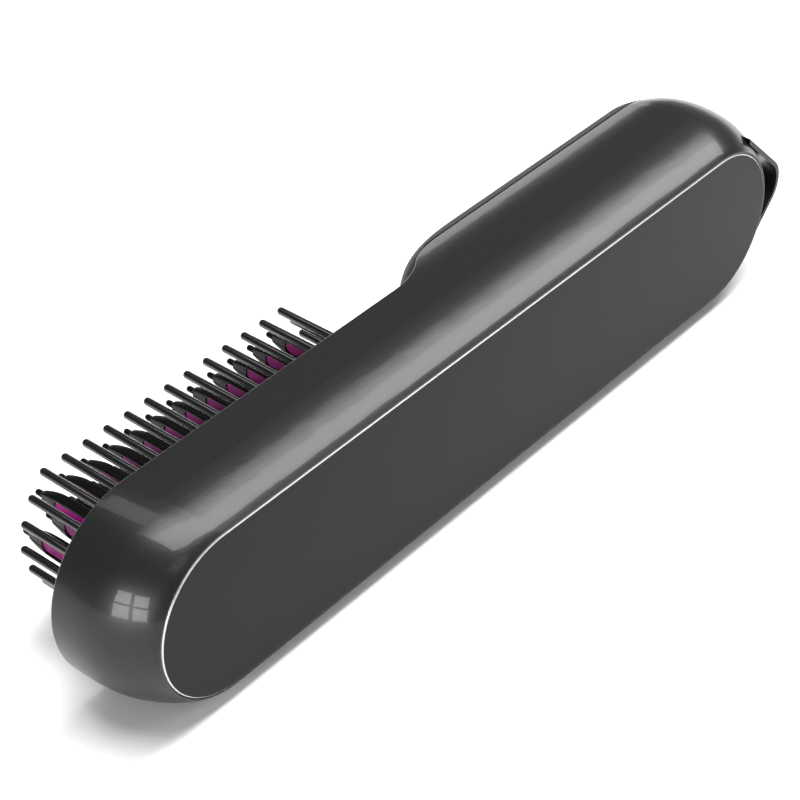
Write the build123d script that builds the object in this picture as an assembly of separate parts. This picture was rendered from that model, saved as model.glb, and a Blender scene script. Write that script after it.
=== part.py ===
from build123d import *
from math import cos, radians, sin, sqrt, tan
import os

os.makedirs("parts", exist_ok=True)

# Cordless hot comb, in millimetres. It lies on its side: X runs from the head to the tail, Y from the
# flat back towards the teeth, and Z across the comb. The origin is the centre of the flat back face.

# Side walls and ends of the body
belly_depth = 15.0          # middle of the body's widest part
belly_flat = 5.0            # height of the flat band there, on which the comb lies
flat_skim = 0.02            # what is taken off that band to make it one plane
back_tuck = 3.35            # how far each side draws in from there to the back's rim
edge_tuck = 2.3             # how far it draws in to the shell's front edge
nose_bulge = 6.3            # how far the nose stands out past the rim
nose_depth = 16.3
nose_slim = 0.95            # length of the nose's half ellipse over its half width
tail_bulge = 7.5
tail_depth = 17.5
tail_tuck = 3.1             # how far the tail draws in to the shell's front edge
wall = 1.7
seam = 0.15
envelope_sections = 9

# Back panel and floor
panel_thickness = 1.6
panel_proud = 0.2
panel_margin = 0.25         # rim of the body to the edge of the panel
panel_gap = 0.15
panel_round = 0.5
floor_thickness = 1.5

# Front cover
edge_round = 0.4
cover_height = 4.9          # shell's front edge to the flat front
front_round = 5.5
step_length = 21.0          # S-shaped rise of the shell's edge behind the comb
ramp_offset = 2.0           # start of the step to the foot of the cover's ramp
ramp_lift = 0.5
ramp_length = 28.0

# Teeth: heated fins with insulating caps
tooth_start = 12.6          # rim to the first pair of teeth
tooth_pitch = 5.58
tooth_rows = 12
tooth_column = 6.5          # centre line to an outer column of teeth
middle_tooth_step = 4.15    # first tooth of the middle column to the first pair
fin_thickness = 1.3
fin_width = 2.6
fin_height = 18.4           # above the heating plate
fin_foot = 2.0
fin_round = 1.2
fin_fit = 0.05
cap_width = 4.3
cap_front = 0.95            # centre line to the face in which the fin shows
cap_back = 1.25
cap_side_taper = 7.6        # height over which the sides draw in to the crown
cap_face_taper = 5.0        # and the two faces
cap_crown = 3.9             # above the fin
nub_radius = 0.65
nub_ledge = 0.2
nub_height = 1.9

# Ring of bristle pins
pins_per_side = 13
pin_row = 13.95             # centre line to a row of pins
pin_shift = -0.9            # first pair of teeth to the first pin
pin_row_extra = 1.0
head_bow = 7.0              # how far the ring bows out at the head
tail_bow = 6.5
end_pins = 2                # on each side of the centre line, at each end
end_pin_turn = 22.5
pin_radius = 0.85
pin_height = 20.45
pin_foot_radius = 1.0
pin_foot_height = 0.8
pin_fit = 0.05

# Comb frame
frame_thickness = 2.8
frame_sink = 0.5            # below the shell's edge
frame_fit = 0.15
frame_tail = 5.5
frame_boss_height = 5.7
frame_boss_radius = 2.4
frame_tongue_half = 4.0
frame_tongue_thickness = 1.2
frame_tongue_reach = 0.9
step_margin = 5.4           # last pin to the start of the step

# Heating plate and what is clamped to it
land_margin = 0.25
land_side = 0.75
land_corner = 1.9
land_sink = 0.1
window_gap = 0.3
base_thickness = 2.6
base_margin = 0.2
base_corner = 7.0
gasket_thickness = 0.5
heater_length = 30.0
heater_width = 12.0
heater_thickness = 1.3
heater_spacing = 4.0
clamp_thickness = 1.0
clamp_overhang = 5.0
clamp_half = 3.5
clamp_pad_inset = 1.0
clamp_screw_inset = 2.5
small_shank_radius = 0.8
small_head_radius = 1.5
small_head_height = 1.3
small_screw_reach = 2.0
plate_screw_half = 11.75
plate_screw_gap = 2.5       # pin pitches from the ends of the row to a plate screw
sensor_side = 9.2
sensor_length = 6.0
sensor_width = 2.8
sensor_thickness = 1.2
fuse_length = 8.0
fuse_radius = 1.1
fuse_lead_length = 3.0
fuse_lead_radius = 0.4
lay_gap = 0.05

# Heat shield on its posts
shield_post_height = 5.1
shield_post_radius = 1.8
shield_post_inset = 6.0
shield_thickness = 1.0
shield_inset = 3.0
shield_corner = 4.0
shield_room = 1.8           # shield to the heads of the clamp screws
stake_radius = 0.7
stake_height = 0.5
stake_fit = 0.1

# Battery: two cells side by side
cell_diameter = 18.4
cell_length = 65.2
cell_gap = 0.2
cell_side_gap = 1.1
bay_offset = 15.0           # start of the step to the cells
tail_room = 15.0            # battery bay or main board, whichever ends last, to the rim's tail end
cradle_floor = 1.1
cradle_height = 6.4
cradle_half = 16.0
cradle_fit = 0.15
cradle_end_gap = 0.3
cradle_end_wall = 1.3
cradle_end_height = 17.9
cradle_end_half = 15.5
tab_thickness = 0.2
tab_half = 3.0
pad_room = 1.8              # cells to the main board
pad_half = 12.0
pad_inset = 14.0

# Main board and what it carries
board_thickness = 1.2
board_headroom = 5.7
board_half = 14.0
board_offset = 22.0         # start of the step to the board
board_tail = 3.0            # power button to the end of the board
board_screw_inset = 1.9
board_screw_half = 11.5
board_boss_radius = 2.0
board_screw_reach = 3.0
display_length = 22.0
display_half = 8.0
display_clearance = 0.2
window_margin = 1.5
window_thickness = 1.0
window_ledge = 1.0
window_corner = 1.5
trim_gap = 0.1
window_space = 1.1          # light pipes to the window
temp_space = 2.0            # window to the temperature button
power_space = 2.5           # temperature button to the power button
pipe_offset = 8.5
pipe_pitch = 3.0
pipe_count = 4
pipe_radius = 0.9
led_half = 0.8
led_height = 0.7
switch_half = 3.0
switch_height = 3.5
edge_part_offset = 12.0
edge_part_pitch = 6.0
edge_part_count = 7
edge_part_side = 11.5
edge_part_length = 3.2
edge_part_width = 2.6
edge_part_height = 1.1
coil_side = 7.0
coil_half = 2.6
coil_height = 2.8

# Buttons
power_radius = 4.5
temp_length = 10.0
temp_width = 7.0
button_proud = 0.6
button_travel = 0.6
button_gap = 0.1
button_round = 0.4
flange_width = 1.0
flange_thickness = 0.9
flange_gap = 0.2
plunger_radius = 1.7
plunger_fit = 0.05
plunger_engage = 1.0
plunger_bottom_gap = 0.2

# Charging port at the tail
usb_depth = 21.8
usb_width = 8.94
usb_height = 3.26
usb_length = 7.35
usb_sheet = 0.3
usb_inset = 0.5
usb_fit = 0.2
tongue_width = 6.7
tongue_thickness = 0.7
tongue_length = 5.6
charge_length = 13.0
charge_half = 6.5
charge_thickness = 1.2
charge_end_gap = 0.4
charge_post_radius = 1.5
charge_post_inset = 3.0
charge_post_half = 4.3

# Leads
lead_radius = 0.7
lead_side = 5.2
lead_dip = 0.1
lead_bend_share = 0.45      # how much of its shorter run a bend takes up
charge_lead_side = 3.5
charge_lead_inset = 1.5

# Screws of the case
shank_radius = 1.1
thread_fit = 0.03
head_radius = 2.2
head_height = 1.6
head_fit = 0.2
screw_reach = 8.0
screw_spare = 0.3
seat_thickness = 2.0
tower_wall = 1.0
cover_boss_radius = 2.6
cover_boss_depth = 14.0
frame_screw_back = 2.5      # from the start of the step towards the head
frame_screw_half = 13.0
cover_screw_offset = 9.0
cover_screw_half = 12.0
tail_screw_inset = 9.0
tail_screw_gap = 0.9

# Hanging loop
loop_depth = 1.85
loop_width = 4.15
loop_thickness = 1.0
loop_standoff = 1.27        # shell to the outside of a leg
loop_reach = 6.75           # tail wall to the outside of the loop
loop_corner = 6.5
loop_hold = 1.0
loop_fit = 0.1

# Places in depth, from the back towards the teeth
floor_top = panel_thickness + floor_thickness
cell_radius = cell_diameter / 2
cell_depth = floor_top + cradle_floor + cell_radius
board_bottom = cell_depth + cell_radius + pad_room
board_top = board_bottom + board_thickness
cover_inside = board_top + board_headroom
handle_depth = cover_inside + wall
edge_depth = handle_depth - cover_height
shield_bottom = floor_top + shield_post_height
clamp_bottom = shield_bottom + shield_thickness + shield_room + small_head_height
heater_bottom = clamp_bottom + clamp_thickness
base_bottom = heater_bottom + heater_thickness
base_top = base_bottom + base_thickness
frame_bottom = base_top + gasket_thickness
frame_top = frame_bottom + frame_thickness
mouth_depth = frame_top + frame_sink
land_top = frame_top - land_sink
fin_top = land_top + fin_height
flange_top = cover_inside - flange_gap
flange_bottom = flange_top - flange_thickness
switch_top = board_top + switch_height
charge_top = usb_depth - usb_height / 2
charge_bottom = charge_top - charge_thickness
frame_tower_top = frame_bottom - frame_boss_height

# Places along the comb, from the head to the tail
tooth_row_length = (tooth_rows - 1) * tooth_pitch
pin_row_length = tooth_row_length + pin_row_extra
comb_length = tooth_start + pin_shift + pin_row_length + tail_bow + step_margin
display_start = pipe_offset + pipe_radius + window_space + window_margin
temp_middle = display_start + display_length + window_margin + temp_space + temp_length / 2
power_middle = temp_middle + temp_length / 2 + power_space + power_radius
board_length = power_middle + power_radius + board_tail
bay_length = bay_offset + cell_length + cradle_end_gap + cradle_end_wall
back_length = comb_length + max(bay_length, board_offset + board_length) + tail_room
head_x = -back_length / 2
tail_x = back_length / 2
tooth_x = head_x + tooth_start
last_tooth_x = tooth_x + tooth_row_length
middle_x = tooth_x - middle_tooth_step
last_middle_x = middle_x + tooth_rows * tooth_pitch
pin_x = tooth_x + pin_shift
last_pin_x = pin_x + pin_row_length
step_x = head_x + comb_length
cell_x = step_x + bay_offset
cell_end_x = cell_x + cell_length
board_x = step_x + board_offset
board_end_x = board_x + board_length
display_x = board_x + display_start + display_length / 2
temp_x = board_x + temp_middle
power_x = board_x + power_middle
land_x = tooth_x - cap_front - land_margin
land_end_x = last_tooth_x + cap_back + land_margin
base_x = pin_x - head_bow - pin_foot_radius - base_margin
base_end_x = last_pin_x + tail_bow + pin_foot_radius + base_margin
heater_x = (base_x + base_end_x) / 2
frame_end_x = step_x + frame_tail

# Widths
cell_side = cell_radius + cell_gap / 2
belly_half = cell_side + cell_radius + cell_side_gap + wall
land_half = tooth_column + cap_width / 2 + land_side
tab_land_half = cap_width / 2 + land_side
base_half = pin_row + pin_foot_radius + base_margin
tail_screw_half = charge_half + tail_screw_gap + cover_boss_radius
tower_radius = head_radius + head_fit + tower_wall
beyond = back_length        # far outside the body, for cutting tools


def arc_out(depth, peak_depth, peak, far_depth, tuck):
    """Height at a depth of the circle that peaks at peak_depth and is lower by tuck at far_depth."""
    span = far_depth - peak_depth
    radius = (span * span + tuck * tuck) / (2 * tuck)
    return peak - radius + sqrt(radius * radius - (depth - peak_depth) ** 2)


def half_width(depth):
    flat_start, flat_end = belly_depth - belly_flat / 2, belly_depth + belly_flat / 2
    if depth < flat_start:
        return arc_out(depth, flat_start, belly_half, 0, back_tuck)
    if depth > flat_end:
        return arc_out(depth, flat_end, belly_half, edge_depth, edge_tuck)
    return belly_half


def nose_out(depth):
    return arc_out(min(depth, nose_depth), nose_depth, nose_bulge, 0, nose_bulge)


def tail_out(depth):
    if depth < tail_depth:
        return arc_out(depth, tail_depth, tail_bulge, 0, tail_bulge)
    return arc_out(depth, tail_depth, tail_bulge, edge_depth, tail_tuck)


def tail_wall_x(depth, side, inset):
    """X of the tail's round wall at a depth and a distance from the centre line."""
    radius = half_width(depth) - inset
    return tail_x + tail_out(depth) - half_width(depth) + sqrt(radius * radius - side * side)


def outline(depth, inset):
    """Outline of the body at a depth: an elliptical nose, straight sides and a round tail."""
    half = half_width(depth) - inset
    nose_x = head_x - nose_out(depth) + inset + nose_slim * half
    round_x = tail_x + tail_out(depth) - inset - half
    edges = [
        EllipticalCenterArc((nose_x, 0), nose_slim * half, half, 90, arc_size=180),
        Line((nose_x, -half), (round_x, -half)),
        CenterArc((round_x, 0), half, -90, 180),
        Line((round_x, half), (nose_x, half)),
    ]
    return make_face(edges)


def at_depth(depth):
    return Plane.XZ.offset(-depth)


def slab(flat, bottom, top):
    """A flat outline in X and Z, raised from one depth to another."""
    return extrude(at_depth(bottom) * flat, amount=top - bottom, dir=(0, 1, 0))


def block(x0, x1, bottom, top, half, side=0.0):
    """A box from x0 to x1, and half its width to each side of the line at side."""
    place = Pos((x0 + x1) / 2, (bottom + top) / 2, side)
    return place * Box(x1 - x0, top - bottom, 2 * half)


def rod(x, side, bottom, top, radius):
    return Pos(x, (bottom + top) / 2, side) * Rot(90, 0, 0) * Cylinder(radius, top - bottom)


def long_rod(x0, x1, depth, side, radius):
    return Pos((x0 + x1) / 2, depth, side) * Rot(0, 90, 0) * Cylinder(radius, x1 - x0)


def rounded(x0, x1, half, corner):
    return Pos((x0 + x1) / 2, 0) * RectangleRounded(x1 - x0, 2 * half, corner)


def envelope(bottom, inset):
    """The body's smooth outer shape, or the shape inset from it, from a depth to the front."""
    rise = (handle_depth - bottom) / (envelope_sections - 1)
    depths = [bottom + i * rise for i in range(envelope_sections)]
    return loft([at_depth(d) * outline(d, inset) for d in depths])


def below_step(lift):
    """Everything behind the shell's front edge, which steps up behind the comb in an S."""
    low = mouth_depth + lift
    high = edge_depth + lift
    middle = (step_x + step_length / 2, (low + high) / 2)
    edges = [
        Polyline((step_x + step_length, high), (beyond, high), (beyond, -beyond), (-beyond, -beyond),
                 (-beyond, low), (step_x, low)),
        TangentArc((step_x, low), middle, tangent=(1, 0)),
        TangentArc((step_x + step_length, high), middle, tangent=(-1, 0)),
    ]
    return extrude(make_face(edges), beyond, both=True)


def handle_zone(inset):
    """Everything under the flat front and behind the ramp that leads down from it to the comb."""
    foot_x = step_x + ramp_offset
    foot = mouth_depth + ramp_lift
    rise = handle_depth - foot
    slope = (ramp_length ** 2 - rise ** 2) / (2 * ramp_length * rise)
    edges = [
        TangentArc((foot_x + ramp_length, handle_depth), (foot_x, foot), tangent=(-1, 0)),
        Polyline((foot_x, foot), (foot_x - slope * (foot + wall), -wall), (beyond, -wall),
                 (beyond, handle_depth), (foot_x + ramp_length, handle_depth)),
    ]
    return extrude(offset(make_face(edges), -inset), beyond, both=True)


def round_front(body, radius):
    """Round the edge between the smooth side walls and the faces that close the body in front."""
    fronts = [f for f in body.faces() if f.geom_type != GeomType.BSPLINE and f.center().Y > floor_top + wall]
    rim = ShapeList([e for f in fronts for e in f.edges()]).filter_by(Axis.Z, reverse=True)
    return fillet(rim, radius)


def handle_body(inset):
    return round_front(envelope(floor_top, inset) & handle_zone(inset), front_round - inset)


def frame_screws():
    x = step_x - frame_screw_back
    return [(x, frame_screw_half), (x, -frame_screw_half)]


def cover_screws():
    front_x = step_x + cover_screw_offset
    rear_x = tail_x - tail_screw_inset
    front = [(front_x, cover_screw_half), (front_x, -cover_screw_half)]
    return front + [(rear_x, tail_screw_half), (rear_x, -tail_screw_half)]


def pin_places():
    pitch = pin_row_length / (pins_per_side - 1)
    sides = [(pin_x + i * pitch, side) for i in range(pins_per_side) for side in (pin_row, -pin_row)]
    ends = []
    for turn in range(-end_pins, end_pins + 1):
        angle = radians(turn * end_pin_turn)
        side = pin_row * sin(angle)
        ends.append((pin_x - head_bow * cos(angle) ** 2, side))
        ends.append((last_pin_x + tail_bow * cos(angle) ** 2, side))
    return sides + ends


def tooth_places():
    """Two outer columns side by side, and a middle one that starts nearer to the head."""
    pairs = [(tooth_x + i * tooth_pitch, side)
             for i in range(tooth_rows) for side in (tooth_column, -tooth_column)]
    return pairs + [(middle_x + i * tooth_pitch, 0.0) for i in range(tooth_rows + 1)]


def loop_ring():
    """The loop from the side: a blunt corner whose legs run at 45 degrees past the round tail."""
    radius = half_width(loop_depth)
    centre_x = tail_x + tail_out(loop_depth) - radius
    apex_x = centre_x + radius + loop_reach
    leg_sum = centre_x + sqrt(2) * (radius + loop_standoff)
    half = leg_sum - apex_x
    root = leg_sum - centre_x
    corners = [(apex_x, half), (apex_x, -half), (centre_x, -root), (centre_x, root)]
    outer = make_face(Polyline(*corners, close=True))
    outer = fillet(outer.vertices().group_by(Axis.X)[-1], loop_corner)
    ring = outer - offset(outer, -loop_thickness)
    end_x = centre_x + radius / sqrt(2) - loop_hold
    return ring & (Pos(end_x + beyond / 2, 0) * Rectangle(beyond, beyond))


def tongue(fit):
    tongue_bottom = frame_bottom + (frame_thickness - frame_tongue_thickness) / 2
    tip_x = head_x - nose_out(frame_top) + wall - frame_tongue_reach
    root_x = tip_x + frame_tongue_half
    return block(tip_x - fit, root_x, tongue_bottom - fit, tongue_bottom + frame_tongue_thickness + fit,
                 frame_tongue_half / 2 + fit)


def shield_posts():
    x0 = base_x + shield_inset + shield_post_inset
    x1 = base_end_x - shield_inset - shield_post_inset
    side = base_half - shield_inset - shield_post_inset
    return [(x, z) for x in (x0, x1) for z in (side, -side)]


def charge_span():
    end_x = tail_wall_x(charge_top, charge_half, wall) - charge_end_gap
    return end_x - charge_length, end_x


def charge_posts():
    x0, x1 = charge_span()
    rows = (x0 + charge_post_inset, x1 - charge_post_inset)
    return [(x, z) for x in rows for z in (charge_post_half, -charge_post_half)]


def usb_profile(grow):
    return Plane.YZ * SlotOverall(usb_width + 2 * grow, usb_height + 2 * grow, rotation=90)


def usb_mouth_x():
    return tail_wall_x(usb_depth, 0, 0) - usb_inset


def screw_tower(x, side, top):
    return rod(x, side, floor_top - floor_thickness / 2, top, tower_radius)


def screw_bore(x, side, top):
    seat = top - seat_thickness
    return rod(x, side, 0, seat, head_radius + head_fit) + rod(x, side, 0, top, shank_radius + thread_fit)


def back_shell():
    shell = round_front(envelope(panel_proud, 0) & below_step(0), edge_round) - envelope(floor_top, wall)
    shell &= block(-beyond, beyond, 0, beyond, belly_half - flat_skim)
    towers = [(x, z, frame_tower_top) for x, z in frame_screws()]
    towers += [(x, z, cover_boss_depth) for x, z in cover_screws()]
    for x, side, top in towers:
        shell += screw_tower(x, side, top)
    for x, side in shield_posts():
        shell += rod(x, side, floor_top, shield_bottom, shield_post_radius)
        shell += rod(x, side, shield_bottom, shield_bottom + shield_thickness + stake_height, stake_radius)
    for x, side in charge_posts():
        shell += rod(x, side, floor_top, charge_bottom, charge_post_radius)
    for x, side, top in towers:
        shell -= screw_bore(x, side, top)
    shell -= slab(outline(0, panel_margin - panel_gap), 0, panel_thickness)
    shell -= slab(offset(loop_ring(), loop_fit), loop_depth - loop_fit, loop_depth + loop_width + loop_fit)
    shell -= tongue(loop_fit)
    mouth = Pos(tail_x - usb_length, usb_depth, 0) * usb_profile(usb_fit)
    return shell - extrude(mouth, beyond, dir=(1, 0, 0))


def back_panel():
    panel = slab(outline(0, panel_margin), 0, panel_thickness)
    return fillet(panel.faces().sort_by(Axis.Y)[0].edges(), panel_round)


def button_flat(name, grow):
    if name == "power":
        return Pos(power_x, 0) * Circle(power_radius + grow)
    return Pos(temp_x, 0) * RectangleRounded(temp_length + 2 * grow, temp_width + 2 * grow,
                                             temp_width / 2 + grow - lay_gap)


def window_flat(grow):
    length = display_length + 2 * window_margin + 2 * grow
    width = 2 * display_half + 2 * window_margin + 2 * grow
    return Pos(display_x, 0) * RectangleRounded(length, width, window_corner + grow)


def pipe_places():
    start = -pipe_pitch * (pipe_count - 1) / 2
    return [(board_x + pipe_offset, start + i * pipe_pitch) for i in range(pipe_count)]


def board_screw_places():
    rows = (board_x + board_screw_inset, board_end_x - board_screw_inset)
    return [(x, z) for x in rows for z in (board_screw_half, -board_screw_half)]


def front_cover():
    skin = handle_body(0)
    cover = (skin - handle_body(wall)) - below_step(seam)
    for x, side in cover_screws():
        cover += rod(x, side, cover_boss_depth, handle_depth, cover_boss_radius) & skin
        cover -= rod(x, side, 0, cover_boss_depth + screw_reach - seat_thickness + screw_spare,
                     shank_radius + thread_fit)
    for x, side in board_screw_places():
        cover += rod(x, side, board_top, handle_depth, board_boss_radius) & skin
        cover -= rod(x, side, 0, board_top + board_screw_reach + screw_spare, small_shank_radius + thread_fit)
    for name in ("power", "temp"):
        cover -= slab(button_flat(name, button_gap), flange_top, beyond)
    cover -= slab(window_flat(trim_gap), handle_depth - window_thickness, beyond)
    cover -= slab(window_flat(-window_ledge), cover_inside - wall, beyond)
    for x, side in pipe_places():
        cover -= rod(x, side, cover_inside - wall, handle_depth + wall, pipe_radius + trim_gap)
    return cover


def land_flat(grow):
    """Outline of the raised land: the field of teeth with a tab at each end for the middle column."""
    field = rounded(land_x - grow, land_end_x + grow, land_half + grow, land_corner + grow)
    tab_x = middle_x - cap_front - land_margin
    tab_end_x = last_middle_x + cap_back + land_margin
    return field + rounded(tab_x - grow, tab_end_x + grow, tab_land_half + grow, land_corner + grow)


def base_flat():
    return rounded(base_x, base_end_x, base_half, base_corner)


def plate_screw_places():
    pitch = pin_row_length / (pins_per_side - 1)
    rows = (pin_x + plate_screw_gap * pitch, last_pin_x - plate_screw_gap * pitch)
    return [(x, z) for x in rows for z in (plate_screw_half, -plate_screw_half)]


def clamp_screw_places():
    reach = heater_length + heater_spacing / 2 + clamp_screw_inset
    return [heater_x - reach, heater_x, heater_x + reach]


def comb_frame():
    flat = outline(frame_top, wall + frame_fit)
    flat = flat & (Pos(frame_end_x - beyond / 2, 0) * Rectangle(beyond, beyond))
    frame = slab(flat, frame_bottom, frame_top) + tongue(0)
    for x, side in frame_screws():
        frame += rod(x, side, frame_tower_top, frame_bottom, frame_boss_radius)
        frame -= rod(x, side, 0, frame_tower_top + screw_reach - seat_thickness + screw_spare,
                     shank_radius + thread_fit)
    frame -= slab(land_flat(window_gap), 0, beyond)
    for x, side in pin_places():
        frame -= rod(x, side, 0, beyond, pin_radius + pin_fit)
        frame -= rod(x, side, 0, frame_bottom + pin_foot_height, pin_foot_radius + pin_fit)
    for x, side in plate_screw_places():
        frame -= rod(x, side, 0, frame_bottom + small_screw_reach, small_shank_radius + thread_fit)
    return frame


def bristle_pin(x, side):
    straight_top = frame_top + pin_height - pin_radius
    pin = rod(x, side, frame_bottom, straight_top, pin_radius)
    pin += rod(x, side, frame_bottom, frame_bottom + pin_foot_height, pin_foot_radius)
    return pin + Pos(x, straight_top, side) * Sphere(pin_radius)


def heat_fin(x, side):
    half = fin_thickness / 2
    fin = block(x - half, x + half, land_top - fin_foot, fin_top, fin_width / 2, side)
    return fillet(fin.faces().sort_by(Axis.Y)[-1].edges().filter_by(Axis.X), fin_round)


def cap_half_flat(reach, crown, taper):
    """Half of a cap's outline: straight up to the shoulder, then drawn in to the crown."""
    foot, top = land_top + land_sink, fin_top + cap_crown
    edges = [
        Polyline((0, top), (0, foot), (reach, foot), (reach, top - taper)),
        TangentArc((reach, top - taper), (crown, top), tangent=(0, 1)),
        Line((crown, top), (0, top)),
    ]
    return make_face(edges)


def scald_cap(x, side):
    """A flat guard with a groove in its front, in which the fin stands."""
    across = cap_half_flat(cap_width / 2, nub_radius + nub_ledge, cap_side_taper)
    across += mirror(across, Plane.YZ)
    rear = cap_half_flat(cap_back, nub_radius, cap_face_taper)
    front = cap_half_flat(cap_front, nub_radius, cap_face_taper)
    along = rear + mirror(front, Plane.YZ)
    cap = extrude(along, cap_width, both=True) & (Rot(0, 90, 0) * extrude(across, cap_width, both=True))
    groove = block(-2 * cap_front, fin_thickness / 2 + fin_fit, 0, fin_top + fin_fit, fin_width / 2 + fin_fit)
    cap -= fillet(groove.faces().sort_by(Axis.Y)[-1].edges().filter_by(Axis.X), fin_round + fin_fit)
    straight_top = fin_top + cap_crown + nub_height - nub_radius
    cap += rod(0, 0, fin_top + cap_crown - nub_radius, straight_top, nub_radius)
    cap += Pos(0, straight_top, 0) * Sphere(nub_radius)
    return Pos(x, 0, side) * cap


def heating_plate():
    plate = slab(base_flat(), base_bottom, base_top) + slab(land_flat(0), base_top, land_top)
    for x, side in tooth_places():
        half = fin_thickness / 2
        plate -= block(x - half, x + half, land_top - fin_foot, land_top + fin_foot, fin_width / 2, side)
    for x, side in plate_screw_places():
        plate -= rod(x, side, 0, beyond, small_shank_radius + thread_fit)
    for x in clamp_screw_places():
        plate -= rod(x, 0, 0, base_bottom + small_screw_reach, small_shank_radius + thread_fit)
    return plate


def plate_gasket():
    gasket = slab(base_flat() - land_flat(window_gap), base_top, frame_bottom)
    for x, side in plate_screw_places():
        gasket -= rod(x, side, 0, beyond, small_shank_radius + thread_fit)
    return gasket


def heater_spans():
    near = heater_spacing / 2
    far = near + heater_length
    return [(heater_x - far, heater_x - near), (heater_x + near, heater_x + far)]


def ceramic_heaters():
    return [block(x0, x1, heater_bottom, base_bottom, heater_width / 2) for x0, x1 in heater_spans()]


def heater_clamp():
    reach = heater_length + heater_spacing / 2
    clamp = block(heater_x - reach - clamp_overhang, heater_x + reach + clamp_overhang,
                  clamp_bottom, heater_bottom, clamp_half)
    for x0, x1 in heater_spans():
        clamp += block(x0 + clamp_pad_inset, x1 - clamp_pad_inset, clamp_bottom, heater_bottom,
                       heater_width / 2 - clamp_pad_inset)
    for x in clamp_screw_places():
        clamp -= rod(x, 0, 0, beyond, small_shank_radius + thread_fit)
    return clamp


def small_screw(x, side, seat, reach):
    """A small screw whose head lies behind the seat and whose shank runs on past it."""
    head = rod(x, side, seat - small_head_height, seat, small_head_radius)
    return head + rod(x, side, seat, seat + reach, small_shank_radius)


def clamp_screws():
    reach = base_bottom + small_screw_reach - clamp_bottom
    return [small_screw(x, 0, clamp_bottom, reach) for x in clamp_screw_places()]


def plate_screws():
    reach = frame_bottom + small_screw_reach - base_bottom
    return [small_screw(x, z, base_bottom, reach) for x, z in plate_screw_places()]


def board_screws():
    reach = board_top + board_screw_reach - board_bottom
    return [small_screw(x, z, board_bottom, reach) for x, z in board_screw_places()]


def case_screws():
    tops = [(x, z, frame_tower_top) for x, z in frame_screws()]
    tops += [(x, z, cover_boss_depth) for x, z in cover_screws()]
    screws = []
    for x, side, top in tops:
        seat = top - seat_thickness
        head = rod(x, side, seat - head_height, seat, head_radius)
        screws.append(head + rod(x, side, seat, seat + screw_reach, shank_radius))
    return screws


def thermistor():
    return block(heater_x - sensor_length / 2, heater_x + sensor_length / 2,
                 base_bottom - sensor_thickness, base_bottom, sensor_width / 2, sensor_side)


def thermal_fuse():
    depth = base_bottom - fuse_radius - lay_gap
    half = fuse_length / 2
    fuse = long_rod(heater_x - half, heater_x + half, depth, -sensor_side, fuse_radius)
    lead = half + fuse_lead_length
    return fuse + long_rod(heater_x - lead, heater_x + lead, depth, -sensor_side, fuse_lead_radius)


def heat_shield():
    flat = rounded(base_x + shield_inset, base_end_x - shield_inset, base_half - shield_inset, shield_corner)
    shield = slab(flat, shield_bottom, shield_bottom + shield_thickness)
    for x, side in shield_posts():
        shield -= rod(x, side, 0, beyond, stake_radius + stake_fit)
    return shield


def battery_cells():
    return [long_rod(cell_x, cell_end_x, cell_depth, side, cell_radius) for side in (cell_side, -cell_side)]


def battery_cradle():
    cradle = block(cell_x - cradle_end_gap, cell_end_x + cradle_end_gap, floor_top,
                   floor_top + cradle_height, cradle_half)
    for side in (cell_side, -cell_side):
        cradle -= long_rod(cell_x - beyond, cell_end_x + beyond, cell_depth, side, cell_radius + cradle_fit)
    for inner_x, outward in ((cell_x - cradle_end_gap, -1), (cell_end_x + cradle_end_gap, 1)):
        outer_x = inner_x + outward * cradle_end_wall
        cradle += block(min(inner_x, outer_x), max(inner_x, outer_x), floor_top,
                        floor_top + cradle_end_height, cradle_end_half)
    return cradle


def battery_tabs():
    bridge = block(cell_x - tab_thickness, cell_x, cell_depth - tab_half, cell_depth + tab_half,
                   cell_side + tab_half)
    ends = [block(cell_end_x, cell_end_x + tab_thickness, cell_depth - tab_half, board_bottom, tab_half, side)
            for side in (cell_side, -cell_side)]
    return [bridge] + ends


def battery_pad():
    return block(cell_x + pad_inset, cell_end_x - pad_inset, cell_depth + cell_radius + lay_gap,
                 board_bottom - lay_gap, pad_half)


def main_board():
    board = block(board_x, board_end_x, board_bottom, board_top, board_half)
    for x, side in board_screw_places():
        board -= rod(x, side, 0, beyond, small_shank_radius + thread_fit)
    return board


def board_parts():
    parts = []
    for i in range(edge_part_count):
        x = board_x + edge_part_offset + i * edge_part_pitch
        for side in (edge_part_side, -edge_part_side):
            parts.append(block(x - edge_part_length / 2, x + edge_part_length / 2, board_top,
                               board_top + edge_part_height, edge_part_width / 2, side))
    for x, side in pipe_places():
        parts.append(block(x - led_half, x + led_half, board_top, board_top + led_height, led_half, side))
    coil_x = (temp_x + power_x) / 2
    parts.append(block(coil_x - coil_half, coil_x + coil_half, board_top, board_top + coil_height,
                       coil_half, coil_side))
    return parts


def tact_switches():
    bore_bottom = switch_top - plunger_engage - button_travel - plunger_bottom_gap
    switches = []
    for x in (power_x, temp_x):
        switch = block(x - switch_half, x + switch_half, board_top, switch_top, switch_half)
        switches.append(switch - rod(x, 0, bore_bottom, switch_top + wall, plunger_radius + plunger_fit))
    return switches


def button(name):
    """A button whose flange keeps it in from behind and whose face stands proud of the cover."""
    cap = slab(button_flat(name, 0), flange_bottom, handle_depth + button_proud)
    cap = fillet(cap.faces().sort_by(Axis.Y)[-1].edges(), button_round)
    return cap + slab(button_flat(name, flange_width), flange_bottom, flange_top)


def plunger(x):
    return rod(x, 0, switch_top - plunger_engage, flange_bottom, plunger_radius)


def display_module():
    return block(display_x - display_length / 2, display_x + display_length / 2, board_top,
                 cover_inside - display_clearance, display_half)


def display_window():
    return slab(window_flat(0), handle_depth - window_thickness, handle_depth)


def light_pipes():
    return [rod(x, z, board_top + led_height + lay_gap, handle_depth, pipe_radius) for x, z in pipe_places()]


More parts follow.
